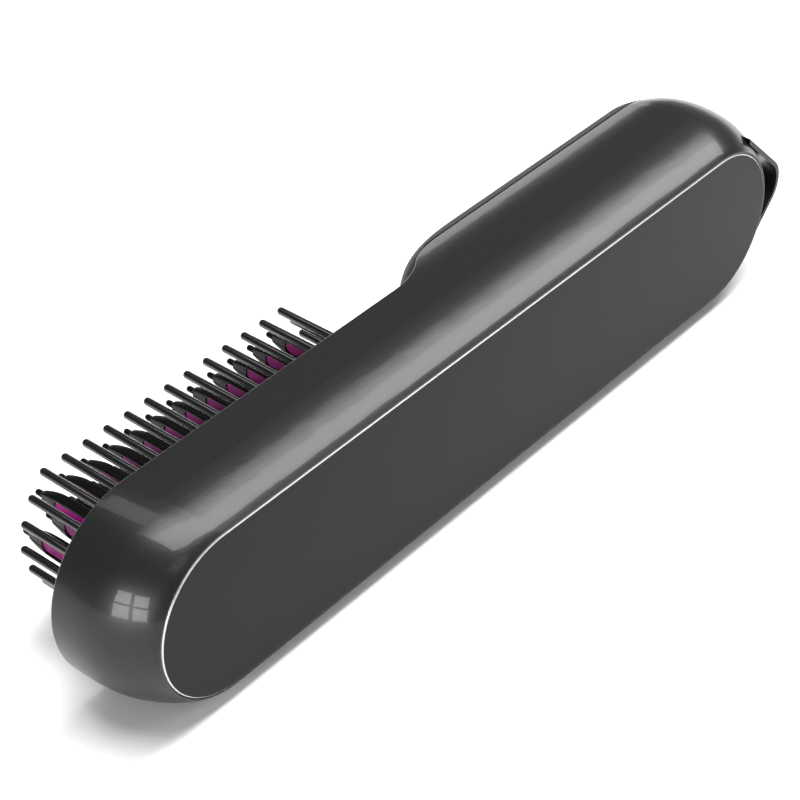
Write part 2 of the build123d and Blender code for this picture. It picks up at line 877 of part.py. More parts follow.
def charge_board():
    x0, x1 = charge_span()
    return block(x0, x1, charge_bottom, charge_top, charge_half)


def usb_socket():
    start_x = usb_mouth_x() - usb_length
    socket = extrude(Pos(start_x, usb_depth, 0) * usb_profile(0), usb_length, dir=(1, 0, 0))
    hollow = Pos(start_x + usb_sheet, usb_depth, 0) * usb_profile(-usb_sheet)
    return socket - extrude(hollow, usb_length, dir=(1, 0, 0))


def usb_tongue():
    start_x = usb_mouth_x() - usb_length + usb_sheet
    return block(start_x, start_x + tongue_length, usb_depth - tongue_thickness / 2,
                 usb_depth + tongue_thickness / 2, tongue_width / 2)


def lead(points):
    """A lead through the points, each bend as wide as its two runs allow."""
    runs = [Vector(*end) - Vector(*start) for start, end in zip(points, points[1:])]
    bends = []
    for run, following in zip(runs, runs[1:]):
        half_turn = radians(run.get_angle(following)) / 2
        bends.append(lead_bend_share * min(run.length, following.length) / tan(half_turn))
    path = FilletPolyline(*points, radius=bends)
    return sweep(Plane(path @ 0, z_dir=path % 0) * Circle(lead_radius), path)


def heater_leads():
    start_x = heater_spans()[-1][1]
    start = base_bottom - lead_radius - lead_dip
    rise_x = frame_end_x - frame_tail / 2
    over_x = cell_x
    entry = (board_bottom + board_top) / 2
    leads = []
    for side in (lead_side, -lead_side):
        points = [(start_x, start, side), (rise_x, start - lead_dip, side), (over_x, entry, side),
                  (board_x, entry, side)]
        leads.append(lead(points))
    return leads


def charge_leads():
    x0, x1 = charge_span()
    entry = (board_bottom + board_top) / 2
    leads = []
    for side in (charge_lead_side, -charge_lead_side):
        x = x0 + charge_lead_inset
        leads.append(lead([(x, charge_top, side), (x, entry, side), (board_end_x, entry, side)]))
    return leads


def hanging_loop():
    return slab(loop_ring(), loop_depth, loop_depth + loop_width)


nodes = {
    "back_shell": back_shell(),
    "back_panel": back_panel(),
    "front_cover": front_cover(),
    "comb_frame": comb_frame(),
    "bristle_pins": [bristle_pin(x, z) for x, z in pin_places()],
    "heat_fins": [heat_fin(x, z) for x, z in tooth_places()],
    "scald_caps": [scald_cap(x, z) for x, z in tooth_places()],
    "hanging_loop": hanging_loop(),
    "heating_plate": heating_plate(),
    "plate_gasket": plate_gasket(),
    "ceramic_heaters": ceramic_heaters(),
    "heater_clamp": heater_clamp(),
    "clamp_screws": clamp_screws(),
    "plate_screws": plate_screws(),
    "thermistor": thermistor(),
    "thermal_fuse": thermal_fuse(),
    "heat_shield": heat_shield(),
    "battery_cells": battery_cells(),
    "battery_cradle": battery_cradle(),
    "battery_tabs": battery_tabs(),
    "battery_pad": battery_pad(),
    "main_board": main_board(),
    "board_parts": board_parts(),
    "board_screws": board_screws(),
    "tact_switches": tact_switches(),
    "power_button": button("power"),
    "power_plunger": plunger(power_x),
    "temp_button": button("temp"),
    "temp_plunger": plunger(temp_x),
    "display_module": display_module(),
    "display_window": display_window(),
    "light_pipes": light_pipes(),
    "charge_board": charge_board(),
    "usb_socket": usb_socket(),
    "usb_tongue": usb_tongue(),
    "heater_leads": heater_leads(),
    "charge_leads": charge_leads(),
    "case_screws": case_screws(),
}

for name, shape in nodes.items():
    pieces = shape if isinstance(shape, list) else [shape]
    solids = [solid for piece in pieces for solid in piece.solids()]
    export_step(Compound(solids), f"parts/{name}.step")
    print(name, len(solids), round(sum(solid.volume for solid in solids), 1))
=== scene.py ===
from math import cos, pi, radians, sin, sqrt

import bmesh
import bpy
from mathutils import Matrix, Vector


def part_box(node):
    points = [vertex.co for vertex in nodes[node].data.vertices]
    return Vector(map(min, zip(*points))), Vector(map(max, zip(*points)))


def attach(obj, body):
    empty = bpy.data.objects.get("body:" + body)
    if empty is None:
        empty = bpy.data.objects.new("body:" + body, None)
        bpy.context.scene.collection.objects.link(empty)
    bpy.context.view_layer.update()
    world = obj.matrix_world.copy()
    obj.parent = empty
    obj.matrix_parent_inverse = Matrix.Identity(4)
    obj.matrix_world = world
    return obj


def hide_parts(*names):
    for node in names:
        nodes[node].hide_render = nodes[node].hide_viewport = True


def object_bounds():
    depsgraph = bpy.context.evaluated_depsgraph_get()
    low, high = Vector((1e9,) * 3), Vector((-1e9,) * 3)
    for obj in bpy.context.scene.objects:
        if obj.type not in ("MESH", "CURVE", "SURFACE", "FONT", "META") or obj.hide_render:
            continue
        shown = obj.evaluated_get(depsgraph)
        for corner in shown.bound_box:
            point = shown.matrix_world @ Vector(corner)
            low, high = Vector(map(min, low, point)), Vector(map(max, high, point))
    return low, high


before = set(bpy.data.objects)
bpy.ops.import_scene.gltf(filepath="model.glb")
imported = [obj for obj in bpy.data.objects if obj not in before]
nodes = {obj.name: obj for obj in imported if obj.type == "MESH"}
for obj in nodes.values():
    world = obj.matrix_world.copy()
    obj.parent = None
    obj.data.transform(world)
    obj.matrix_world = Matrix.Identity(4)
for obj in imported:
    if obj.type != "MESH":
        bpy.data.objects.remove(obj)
cad_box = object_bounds()
scene = bpy.context.scene
mm = 0.001


# ---- Camera and studio -------------------------------------------------------------------------
# The comb lies on its side on a white table. A long softbox hangs over it, smaller ones stand
# behind, above and before it, and four panes like a window's stand past its head.
camera_place = Vector((-0.26806, -0.21396, 0.27290))
camera_way = Vector((0.58336, 0.52274, -0.62164)).normalized()
camera_up = Vector((0.48539, 0.38928, 0.78285))
camera_lens, camera_sensor = 101.1, 36
table_drop = 0.0002             # below the widest side of the comb

camera = bpy.data.objects.new("camera", bpy.data.cameras.new("camera"))
camera_right = camera_way.cross(camera_up).normalized()
camera_turn = Matrix((camera_right, camera_right.cross(camera_way), -camera_way)).transposed()
camera.matrix_world = Matrix.Translation(camera_place) @ camera_turn.to_4x4()
camera.data.lens, camera.data.sensor_width = camera_lens, camera_sensor
camera.data.clip_start = 0.01
scene.collection.objects.link(camera)
scene.camera = camera
scene.view_settings.view_transform = "Standard"

# The table is one white sheet, lit evenly.
table_size, table_white = 6.0, 0.86
table_mesh = bpy.data.meshes.new("table")
table_half, table_top = table_size / 2, cad_box[0].z - table_drop
table_corners = [(x * table_half, y * table_half, table_top) for x, y in ((-1, -1), (1, -1), (1, 1), (-1, 1))]
table_mesh.from_pydata(table_corners, [], [(0, 1, 2, 3)])
table = bpy.data.objects.new("table", table_mesh)
scene.collection.objects.link(table)
table_paint = bpy.data.materials.new("table_white")
table_paint.use_nodes = True
table_shader = table_paint.node_tree.nodes["Principled BSDF"]
table_shader.inputs["Base Color"].default_value = 3 * (table_white,) + (1,)
table_shader.inputs["Roughness"].default_value = 0.9
table_shader.inputs["Specular IOR Level"].default_value = 0.0
table_mesh.materials.append(table_paint)


def softbox(name, place, turn, width, height, radiance):
    """A rectangular lamp of even brightness. Unturned it faces down, with its width along the comb."""
    lamp = bpy.data.lights.new(name, "AREA")
    lamp.shape, lamp.size, lamp.size_y = "RECTANGLE", width, height
    lamp.energy = radiance * pi * width * height
    held = bpy.data.objects.new(name, lamp)
    held.location = place
    held.rotation_euler = [radians(angle) for angle in turn]
    scene.collection.objects.link(held)


# The long softbox is brightest over the comb's back and fades in strips towards its front.
long_place, long_width = (0.48, 0.90), 1.58
long_strips = ((-0.07, 0.30, 13.5), (0.12, 0.08, 8.0), (0.20, 0.08, 5.0), (0.28, 0.08, 2.2))
for strip, (side, height, radiance) in enumerate(long_strips):
    place = (long_place[0], side, long_place[1])
    softbox(f"long_softbox_{strip}", place, (0, 0, 0), long_width, height, radiance)
softbox("rear_softbox", (0.86, 0.94, 0.14), (90, 0, 137), 0.42, 0.20, 2.4)
softbox("top_softbox", (0.02, 0.62, 1.00), (-32, 0, 0), 0.32, 0.46, 3.4)
softbox("front_softbox", (-0.50, -0.55, 0.90), (33, -28, 0), 0.40, 0.30, 1.8)
softbox("rim_softbox", (0.60, -0.65, 0.55), (60, 0, 43), 0.40, 0.16, 9.0)

window_place, window_turn, window_radiance = (-0.62, -0.11, 0.105), (90, 0, -80), 19.0
pane_width, pane_height, pane_column, pane_row = 0.105, 0.11, 0.065, 0.064
for across, side in (("left", -pane_column), ("right", pane_column)):
    for level, rise in (("low", -pane_row), ("high", pane_row)):
        place = (window_place[0], window_place[1] + side, window_place[2] + rise)
        softbox(f"window_{across}_{level}", place, window_turn, pane_width, pane_height, window_radiance)

world = bpy.data.worlds.new("studio")
scene.world = world
world.use_nodes = True
world.node_tree.nodes["Background"].inputs["Color"].default_value = (1.0, 1.0, 1.0, 1)
world.node_tree.nodes["Background"].inputs["Strength"].default_value = 0.18


# ---- Back shell --------------------------------------------------------------------------------
# One long moulded tub, open at the front: ABS with a satin gunmetal paint under a thin lacquer.
# The other pieces drop into it from the front and screw into its towers.
class Paint:
    """A socket of a material's nodes, which takes part in Python arithmetic."""

    def __init__(self, tree, socket=None):
        self.tree, self.socket = tree, socket

    def node(self, kind, settings, inputs, output=0):
        made = self.tree.nodes.new(kind)
        for name, value in settings.items():
            setattr(made, name, value)
        for name, value in inputs.items():
            if isinstance(value, Paint):
                self.tree.links.new(value.socket, made.inputs[name])
            else:
                made.inputs[name].default_value = value
        return Paint(self.tree, made.outputs[output])

    def maths(self, operation, a, b):
        return self.node("ShaderNodeMath", {"operation": operation}, {0: a, 1: b})

    def __add__(self, other):
        return self.maths("ADD", self, other)

    def __sub__(self, other):
        return self.maths("SUBTRACT", self, other)

    def __rsub__(self, other):
        return self.maths("SUBTRACT", other, self)

    def __mul__(self, other):
        return self.maths("MULTIPLY", self, other)

    def __gt__(self, other):
        return self.maths("GREATER_THAN", self, other)

    __radd__, __rmul__ = __add__, __mul__

    def place(self):
        return self.node("ShaderNodeTexCoord", {}, {}, "Object")

    def noise(self, scale, detail=2.0):
        fed = {"Vector": self.place(), "Scale": scale, "Detail": detail}
        return self.node("ShaderNodeTexNoise", {}, fed, "Fac")

    def blend(self, mask, a, b):
        return self.node("ShaderNodeMix", {"data_type": "RGBA"}, {0: mask, 6: a, 7: b}, 2)

    def bump(self, height, distance):
        return self.node("ShaderNodeBump", {}, {"Height": height, "Distance": distance}, "Normal")


def finish(name, look):
    """A material: look(paint) gives the values and links of its shader's sockets."""
    made = bpy.data.materials.new(name)
    made.use_nodes = True
    shader = made.node_tree.nodes["Principled BSDF"]
    for socket, value in look(Paint(made.node_tree)).items():
        if isinstance(value, Paint):
            made.node_tree.links.new(value.socket, shader.inputs[socket])
        else:
            shader.inputs[socket].default_value = value
    return made


def dress(node, made):
    """Gives a CAD node its material."""
    nodes[node].data.materials.clear()
    nodes[node].data.materials.append(made)


def shade(light, tint=(1.0, 1.0, 1.0)):
    return tuple(light * part for part in tint) + (1.0,)


gunmetal_dark, gunmetal_light = 0.008, 0.016
flake_scale, drift_scale = 2600, 18


def gunmetal(paint):
    flakes = paint.noise(flake_scale, 1.0)
    drift = paint.noise(drift_scale)
    return {
        "Base Color": paint.blend(flakes, shade(gunmetal_dark), shade(gunmetal_light, (1.0, 0.99, 0.98))),
        "Metallic": 0.25,
        "Specular IOR Level": 0.25,
        "Roughness": 0.31 + 0.015 * drift + 0.02 * flakes,
        "Coat Weight": 0.2,
        "Coat Roughness": 0.05,
        "Normal": paint.bump(flakes, 0.000004),
    }


dress("back_shell", finish("gunmetal_satin", gunmetal))


# ---- Back panel --------------------------------------------------------------------------------
# A flat moulding in the same paint, glued into the shell's back over the case screws. Its rounded
# edge is painted light grey, more metallic and glossier: a painted highlight along its rim.
panel_edge_start, panel_painted_highlight = 0.04 * mm, 0.55


def panel_gunmetal(paint):
    look = gunmetal(paint)
    depth = paint.node("ShaderNodeSeparateXYZ", {}, {0: paint.place()}, 1)
    edge = depth > panel_edge_start
    # Painted highlight: the rounded rim is painted light grey.
    look["Base Color"] = paint.blend(edge, look["Base Color"], shade(panel_painted_highlight))
    look["Metallic"] = 0.4 * edge
    look["Roughness"] = 0.29 + 0.04 * paint.noise(drift_scale) - 0.06 * edge
    look["Specular IOR Level"] = 0.05
    look["Coat Weight"] = 0.08
    return look


dress("back_panel", finish("gunmetal_panel", panel_gunmetal))


# ---- Front cover -------------------------------------------------------------------------------
# The handle's front: black ABS with a fine spark-eroded texture, moulded in one piece and screwed
# on from inside.
def moulded_black(light, roughness, grain_scale, grain_depth, specular=0.22):
    def look(paint):
        grain = paint.noise(grain_scale, 3.0)
        return {
            "Base Color": paint.blend(paint.noise(drift_scale), shade(light), shade(light * 1.5)),
            "Roughness": roughness + 0.08 * grain,
            "Specular IOR Level": specular,
            "Normal": paint.bump(grain, grain_depth),
        }
    return look


dress("front_cover", finish("cover_black_satin", moulded_black(0.002, 0.40, 4200, 0.000004, 0.08)))


# ---- Comb frame --------------------------------------------------------------------------------
# The black tray that closes the head and holds the ring of pins: glass-filled nylon, slightly
# duller than the cover.
dress("comb_frame", finish("frame_black_nylon", moulded_black(0.003, 0.42, 3000, 0.000005)))


# ---- Heating plate and fins --------------------------------------------------------------------
# Die-cast aluminium with a purple ceramic lacquer: a plate with a slot for the foot of each fin,
# and 37 round-headed fins pressed into it. The fins' edges are painted light pink as a painted highlight.
tooth_rows, tooth_pitch = 12, 5.58 * mm
tooth_column, middle_tooth_step = 6.5 * mm, 4.15 * mm
fin_thickness, fin_width = 1.3 * mm, 2.6 * mm
fin_foot, fin_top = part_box("heat_fins")[0].y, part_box("heat_fins")[1].y
middle_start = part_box("heat_fins")[0].x + fin_thickness / 2
tooth_start = middle_start + middle_tooth_step
fin_corner, fin_edge, fin_rim, fin_corner_steps = 1.2 * mm, 0.12 * mm, 0.34 * mm, 6
crease_angle = radians(38)


def piece(name, shape, made, body, slot, *stood_for):
    """A finished mesh as an object of its own, on its body. Its slot argument is not used."""
    held = bpy.data.objects.new(name, shape)
    scene.collection.objects.link(held)
    shape.materials.clear()
    shape.materials.append(made)
    shape.shade_smooth()
    shape.set_sharp_from_angle(angle=crease_angle)
    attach(held, body)
    if stood_for:
        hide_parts(*stood_for)


def rows_tree(name):
    """Node tree: the given mesh stands in two straight rows, in a middle one and in a bow at each end."""
    tree = bpy.data.node_groups.new(name, "GeometryNodeTree")
    face = tree.interface
    face.new_socket("Piece", in_out="INPUT", socket_type="NodeSocketGeometry")
    labels = {"Int": ("Count", "Middle Count", "End Count"), "Material": ("Finish",),
              "Float": ("Pitch", "Start", "Middle Start", "Column", "End Turn", "Head Bow", "Tail Bow")}
    for kind in labels:
        for label in labels[kind]:
            face.new_socket(label, in_out="INPUT", socket_type="NodeSocket" + kind)
    face.new_socket("Pieces", in_out="OUTPUT", socket_type="NodeSocketGeometry")
    given, result = tree.nodes.new("NodeGroupInput"), tree.nodes.new("NodeGroupOutput")

    def node(kind, settings, inputs):
        made = tree.nodes.new(kind)
        for key, value in settings.items():
            setattr(made, key, value)
        for key, value in inputs.items():
            for one in value if isinstance(value, list) else [value]:
                if isinstance(one, bpy.types.NodeSocket):
                    tree.links.new(one, made.inputs[key])
                else:
                    made.inputs[key].default_value = one
        return made.outputs[0]

    def maths(operation, a, b=0.0):
        return node("ShaderNodeMath", {"operation": operation}, {0: a, 1: b})

    take = given.outputs
    step = node("ShaderNodeCombineXYZ", {}, {"X": take["Pitch"]})
    sides = []
    for kind, way in (("", 1.0), ("", -1.0), ("Middle ", 0.0)):
        aside = maths("MULTIPLY", take["Column"], way)
        start = node("ShaderNodeCombineXYZ", {}, {"X": take[kind + "Start"], "Z": aside})
        line = {"Count": take[kind + "Count"], "Start Location": start, "Offset": step}
        sides.append(node("GeometryNodeMeshLine", {}, line))
    length = maths("MULTIPLY", take["Pitch"], maths("SUBTRACT", take["Count"], 1.0))
    last = maths("ADD", take["Start"], length)
    middle = maths("DIVIDE", maths("SUBTRACT", take["End Count"], 1.0), 2.0)
    from_middle = maths("SUBTRACT", node("GeometryNodeInputIndex", {}, {}), middle)
    angle = maths("MULTIPLY", from_middle, take["End Turn"])
    bow = maths("POWER", maths("COSINE", angle), 2.0)
    for from_x, reach, way in ((take["Start"], take["Head Bow"], -1.0), (last, take["Tail Bow"], 1.0)):
        line = node("GeometryNodeMeshLine", {}, {"Count": take["End Count"]})
        x = maths("ADD", from_x, maths("MULTIPLY", maths("MULTIPLY", reach, way), bow))
        aside = maths("MULTIPLY", take["Column"], maths("SINE", angle))
        place = node("ShaderNodeCombineXYZ", {}, {"X": x, "Z": aside})
        sides.append(node("GeometryNodeSetPosition", {}, {"Geometry": line, "Position": place}))
    spots = node("GeometryNodeJoinGeometry", {}, {"Geometry": sides[::-1]})
    stood = node("GeometryNodeInstanceOnPoints", {}, {"Points": spots, "Instance": take["Piece"]})
    solid = node("GeometryNodeRealizeInstances", {}, {"Geometry": stood})
    painted = node("GeometryNodeSetMaterial", {}, {"Geometry": solid, "Material": take["Finish"]})
    tree.links.new(painted, result.inputs[0])
    return tree


def stand_in_rows(name, unit, made, **sizes):
    """The unit mesh repeated over its rows, as one plain mesh."""
    held = bpy.data.objects.new(name + "_unit", unit)
    scene.collection.objects.link(held)
    tree = rows_tree(name + "_rows")
    repeat = held.modifiers.new("rows", "NODES")
    repeat.node_group = tree
    for item in tree.interface.items_tree:
        if item.in_out == "INPUT" and item.name in sizes:
            repeat[item.identifier] = sizes[item.name]
        elif item.in_out == "INPUT" and item.name == "Finish":
            repeat[item.identifier] = made
    bpy.context.view_layer.update()
    seen = held.evaluated_get(bpy.context.evaluated_depsgraph_get())
    shape = bpy.data.meshes.new_from_object(seen)
    shape.name = name
    bpy.data.objects.remove(held)
    return shape


def skin(name, rings):
    """A closed mesh through rings of points."""
    shape = bmesh.new()
    loops = [[shape.verts.new(point) for point in ring] for ring in rings]
    count = len(loops[0])
    for low, high in zip(loops, loops[1:]):
        for i in range(count):
            shape.faces.new((low[i], low[(i + 1) % count], high[(i + 1) % count], high[i]))
    for loop in (loops[0], loops[-1]):
        shape.faces.new(loop)
    bmesh.ops.recalc_face_normals(shape, faces=shape.faces)
    made = bpy.data.meshes.new(name)
    shape.to_mesh(made)
    shape.free()
    return made


# Each fin is drawn as its outline from the side, swept through its thickness with eased edges.
def fin_ring(x, inset):
    half_w, top = fin_width / 2 - inset, fin_top - inset
    corner = fin_corner - inset
    ring = [(x, fin_foot, -half_w), (x, fin_foot, half_w)]
    for way in (1, -1):
        arc = [i / fin_corner_steps * pi / 2 for i in range(fin_corner_steps + 1)]
        for angle in arc if way > 0 else arc[::-1]:
            rise, reach = corner * sin(angle), corner * cos(angle)
            ring.append((x, top - corner + rise, way * (half_w - corner + reach)))
    return ring


fin_half = fin_thickness / 2
# The third number of each step is its painted highlight: 1 round the fin's narrow outline, fading to 0 on its
# broad faces.
fin_steps = [(-fin_half, fin_rim, 0.0), (-fin_half, fin_edge, 0.7), (-fin_half + fin_edge, 0.0, 1.0),
             (fin_half - fin_edge, 0.0, 1.0), (fin_half, fin_edge, 0.7), (fin_half, fin_rim, 0.0)]
fin_unit = skin("fin_unit", [fin_ring(x, inset) for x, inset, _ in fin_steps])
fin_painted_highlight = fin_unit.attributes.new("fin_painted_highlight", "FLOAT", "POINT")
fin_ring_count = len(fin_unit.vertices) // len(fin_steps)
for i, value in enumerate(fin_painted_highlight.data):
    value.value = fin_steps[i // fin_ring_count][2]


def purple_lacquer(paint):
    mottle = paint.noise(700, 3.0)
    painted_highlight = paint.node("ShaderNodeAttribute", {"attribute_name": "fin_painted_highlight"}, {}, "Fac")
    deep = paint.blend(mottle, shade(0.17, (1.0, 0.001, 0.56)), shade(0.24, (1.0, 0.001, 0.60)))
    return {
        # Painted highlight: the fins' narrow edges are painted light pink.
        "Base Color": paint.blend(painted_highlight, deep, shade(0.56, (1.0, 0.20, 0.68))),
        "Metallic": 0.3,
        "Specular IOR Level": 0.05,
        "Roughness": 0.26 + 0.06 * mottle,
        "Normal": paint.bump(mottle, 0.000004),
    }


purple = finish("purple_ceramic_lacquer", purple_lacquer)
dress("heating_plate", purple)
tooth_places = {"Count": tooth_rows, "Pitch": tooth_pitch, "Start": tooth_start, "Column": tooth_column,
                "Middle Count": tooth_rows + 1, "Middle Start": middle_start, "End Count": 0}
fins = stand_in_rows("fins", fin_unit, purple, **tooth_places)
piece("heated_fins", fins, purple, "comb_body", "fin_purple", "heat_fins")


# ---- Scald caps --------------------------------------------------------------------------------
# A black nylon guard round each fin: it has a groove in its front in which the fin shows, sides and
# faces that draw in to a narrow crown, and one round nub that parts the hair.
cap_half_z, cap_front, cap_back = 2.15 * mm, 0.95 * mm, 1.25 * mm
nub_radius, nub_ledge = 0.65 * mm, 0.2 * mm
cap_foot, nub_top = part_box("scald_caps")[0].y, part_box("scald_caps")[1].y
crown_y, crown_ease, nub_sink = fin_top + 3.9 * mm, 0.12 * mm, 0.3 * mm
side_taper, face_taper = 7.6 * mm, 5.0 * mm
groove_fit, groove_lip = 0.05 * mm, 0.09 * mm
cap_edge, cap_edge_steps, cap_steps, nub_steps, nub_sides = 0.3 * mm, 3, 10, 6, 14


def drawn_in(y, taper, wide, narrow):
    """Half width at a height: full up to the shoulder, then an arc in to the crown."""
    rise, fall = max(0.0, y - crown_y + taper), wide - narrow
    radius = (taper * taper + fall * fall) / (2 * fall)
    return wide - radius + sqrt(radius * radius - rise * rise)


def groove_half(y):
    """Half width of the groove at a height, round at its head."""
    corner = fin_corner + groove_fit
    over = max(0.0, y - (fin_top + groove_fit - corner))
    return fin_width / 2 + groove_fit - corner + sqrt(max(0.0, corner * corner - over * over))


def cap_ring(y, grooved, ease=0.0):
    half_z = drawn_in(y, side_taper, cap_half_z, nub_radius + nub_ledge) - ease
    front = drawn_in(y, face_taper, cap_front, nub_radius) - ease
    back = drawn_in(y, face_taper, cap_back, nub_radius) - ease
    depth = fin_half + groove_fit if grooved else -front + groove_lip
    open_half = groove_half(min(y, fin_top))
    half_ring = [(depth, open_half), (-front + groove_lip, open_half), (-front, open_half + groove_lip)]
    for middle_x, start in ((-front + cap_edge, pi), (back - cap_edge, pi / 2)):
        for step in range(cap_edge_steps + 1):
            angle = start - step / cap_edge_steps * pi / 2
            half_ring.append((middle_x + cap_edge * cos(angle), half_z - cap_edge + cap_edge * sin(angle)))
    return [(x, y, z) for x, z in half_ring] + [(x, y, -z) for x, z in half_ring[::-1]]


groove_turn, groove_straight = fin_top - fin_corner, 2.5 * mm
cap_rings = [cap_ring(y, True) for y in [cap_foot, groove_turn - groove_straight]
             + [groove_turn + fin_corner * sin(step / cap_steps * pi / 2) for step in range(cap_steps + 1)]]
cap_rings += [cap_ring(fin_top + (crown_y - fin_top) * step / cap_steps, False) for step in range(cap_steps)]
cap_rings += [cap_ring(crown_y - crown_ease, False), cap_ring(crown_y, False, crown_ease)]
nub_profile = [(crown_y - nub_sink, nub_radius)]
for step in range(nub_steps):
    angle = step / nub_steps * pi / 2
    nub_profile.append((nub_top - nub_radius * (1 - sin(angle)), nub_radius * cos(angle)))
nub_rings = [[(width * cos(2 * pi * turn / nub_sides), y, width * sin(2 * pi * turn / nub_sides))
              for turn in range(nub_sides)] for y, width in nub_profile]
cap_unit = bpy.data.meshes.new("cap_unit")
whole = bmesh.new()
whole.from_mesh(skin("cap", cap_rings))
whole.from_mesh(skin("nub", nub_rings))
whole.to_mesh(cap_unit)
whole.free()

cap_black = finish("cap_black_nylon", moulded_black(0.002, 0.24, 3200, 0.000002, 0.10))
caps = stand_in_rows("caps", cap_unit, cap_black, **tooth_places)
piece("fin_caps", caps, cap_black, "comb_body", "cap_black", "scald_caps")


# ---- Bristle pins ------------------------------------------------------------------------------
# Thirty-six round-ended nylon pins stand in a ring round the teeth, each pushed through the frame
# from behind up to its foot.
pin_radius, pin_foot_radius, pin_foot_height = 0.85 * mm, 1.0 * mm, 0.8 * mm
pin_foot_y, pin_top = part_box("bristle_pins")[0].y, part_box("bristle_pins")[1].y
pin_row, pins_per_side, pins_per_end = 13.95 * mm, 13, 5
pin_shift, pin_row_extra = -0.9 * mm, 1.0 * mm
pin_start = tooth_start + pin_shift
pin_row_length = (tooth_rows - 1) * tooth_pitch + pin_row_extra
pin_head_bow, pin_tail_bow, pin_end_turn = 7.0 * mm, 6.5 * mm, radians(22.5)
pin_steps, pin_sides = 5, 16

pin_profile = [(pin_foot_y, pin_foot_radius), (pin_foot_y + pin_foot_height, pin_foot_radius),
               (pin_foot_y + pin_foot_height, pin_radius)]
for step in range(pin_steps):
    angle = step / pin_steps * pi / 2
    pin_profile.append((pin_top - pin_radius * (1 - sin(angle)), pin_radius * cos(angle)))
pin_unit = skin("pin_unit", [[(r * cos(2 * pi * t / pin_sides), y, r * sin(2 * pi * t / pin_sides))
                              for t in range(pin_sides)] for y, r in pin_profile])
pin_black = finish("pin_black_nylon", moulded_black(0.0025, 0.10, 4200, 0.0000006, 0.8))
pins = stand_in_rows("pins", pin_unit, pin_black, **{
    "Count": pins_per_side, "Pitch": pin_row_length / (pins_per_side - 1), "Start": pin_start,
    "Column": pin_row, "Middle Count": 0, "End Count": pins_per_end, "End Turn": pin_end_turn,
    "Head Bow": pin_head_bow, "Tail Bow": pin_tail_bow})
piece("ring_pins", pins, pin_black, "comb_body", "pin_black", "bristle_pins")


# ---- Hanging loop ------------------------------------------------------------------------------
# A flat strap of satin black nylon that hugs the round tail. It is moulded in one piece, and its
# ends are pressed into the shell's wall.
def satin_black(paint):
    ripple = paint.noise(220)
    return {
        "Base Color": paint.blend(ripple, shade(0.008), shade(0.012)),
        "Roughness": 0.34 + 0.06 * ripple,
        "Specular IOR Level": 0.2,
        "Normal": paint.bump(ripple, 0.00001),
    }


dress("hanging_loop", finish("loop_black_satin", satin_black))


# ---- Gasket, heaters and their clamp -----------------------------------------------------------
# A die-cut silicone gasket seals the plate to the frame. Two white alumina heaters lie under the
# plate, pressed to it by a spring-steel clamp with three screws.
def moulded(light, tint, roughness, grain_scale, grain_depth, specular=0.4):
    def look(paint):
        grain = paint.noise(grain_scale, 3.0)
        drift = paint.noise(drift_scale * 4)
        return {
            "Base Color": paint.blend(drift, shade(light * 0.92, tint), shade(light, tint)),
            "Roughness": roughness + 0.1 * grain,
            "Specular IOR Level": specular,
            "Normal": paint.bump(grain, grain_depth),
        }
    return look


def rolled_metal(light, tint, roughness, line_scale, along=(0.04, 1.0, 1.0)):
    """Bare metal with fine rolling lines along one axis."""
    def look(paint):
        fed = {0: paint.place(), 1: along}
        run = paint.node("ShaderNodeVectorMath", {"operation": "MULTIPLY"}, fed, "Vector")
        fed = {"Vector": run, "Scale": line_scale, "Detail": 3.0}
        lines = paint.node("ShaderNodeTexNoise", {}, fed, "Fac")
        stain = paint.noise(160, 3.0)
        return {
            "Base Color": paint.blend(stain, shade(light * 0.86, tint), shade(light, tint)),
            "Metallic": 1.0,
            "Roughness": roughness + 0.14 * lines + 0.06 * stain,
            "Normal": paint.bump(lines, 0.000004),
        }
    return look


dress("plate_gasket", finish("gasket_silicone", moulded(0.30, (1.0, 0.96, 0.92), 0.62, 900, 0.00001, 0.3)))
dress("ceramic_heaters", finish("heater_alumina", moulded(0.80, (1.0, 0.98, 0.93), 0.55, 2400, 0.000006)))
dress("heater_clamp", finish("clamp_spring_steel", rolled_metal(0.52, (1.0, 0.97, 0.92), 0.26, 3000)))


# ---- Temperature sensor and fuse ---------------------------------------------------------------
# The sensor is a bead of dark epoxy against the plate. The thermal fuse is a small drawn can with
# a crimped mouth, held beside it.
dress("thermistor", finish("sensor_epoxy", moulded(0.035, (0.6, 0.42, 0.3), 0.22, 500, 0.000012, 0.5)))
drawn_can = rolled_metal(0.66, (1.0, 0.96, 0.88), 0.22, 2600, (1.0, 0.06, 1.0))
dress("thermal_fuse", finish("fuse_tinned_can", drawn_can))


# ---- Heat shield -------------------------------------------------------------------------------
# A tray of thin bright aluminium between the hot plate and the shell's back, with a light
# hammered grain.
def hammered(paint):
    dimples = paint.node("ShaderNodeTexVoronoi", {}, {"Vector": paint.place(), "Scale": 900}, "Distance")
    stain = paint.noise(120, 3.0)
    return {
        "Base Color": paint.blend(stain, shade(0.70), shade(0.82, (1.0, 0.99, 0.97))),
        "Metallic": 1.0,
        "Roughness": 0.24 + 0.12 * stain,
        "Normal": paint.bump(dimples, 0.00006),
    }


dress("heat_shield", finish("shield_aluminium", hammered))


